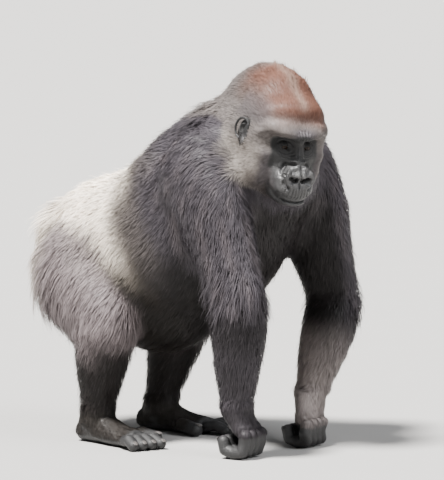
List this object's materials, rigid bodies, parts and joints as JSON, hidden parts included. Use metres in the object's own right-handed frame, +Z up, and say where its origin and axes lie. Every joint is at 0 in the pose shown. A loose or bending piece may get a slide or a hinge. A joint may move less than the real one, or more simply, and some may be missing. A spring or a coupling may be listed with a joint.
{
  "type": "gorilla figure",
  "caption": "Life-size still model of a silverback western gorilla standing on its knuckles, head turned to one side, mouth closed.",
  "frame": {"origin": "middle of the footprint on the floor, under the middle of the animal's bounding box", "axes": "+Z up, the trunk faces -Y, the animal's left side is +X"},
  "size_m": [0.6806, 1.0454, 1.1248],
  "materials": {
    "head_coat": "short chestnut fur",
    "neck_coat": "grey-brown fur",
    "dark_coat": "charcoal fur",
    "flank_coat": "grey-brown fur",
    "saddle_coat": "silver-cream fur",
    "thigh_coat": "grey fur",
    "limb_coat": "dark brown-black fur",
    "bare_skin": "bare black skin",
    "eye": "glossy dark brown"
  },
  "bodies": {
    "root": {"head": "head_coat", "neck": "neck_coat", "chest": "dark_coat", "abdomen": "flank_coat", "pelvis": "saddle_coat", "upper_arm_right": "dark_coat", "upper_arm_left": "dark_coat", "forearm_right": "limb_coat", "forearm_left": "limb_coat", "hand_right": "bare_skin", "hand_left": "bare_skin", "thigh_right": "thigh_coat", "thigh_left": "thigh_coat", "shank_right": "limb_coat", "shank_left": "limb_coat", "foot_right": "bare_skin", "foot_left": "bare_skin", "ear_right": "bare_skin", "ear_left": "bare_skin", "eye_right": "eye", "eye_left": "eye"}
  },
  "joints": []
}
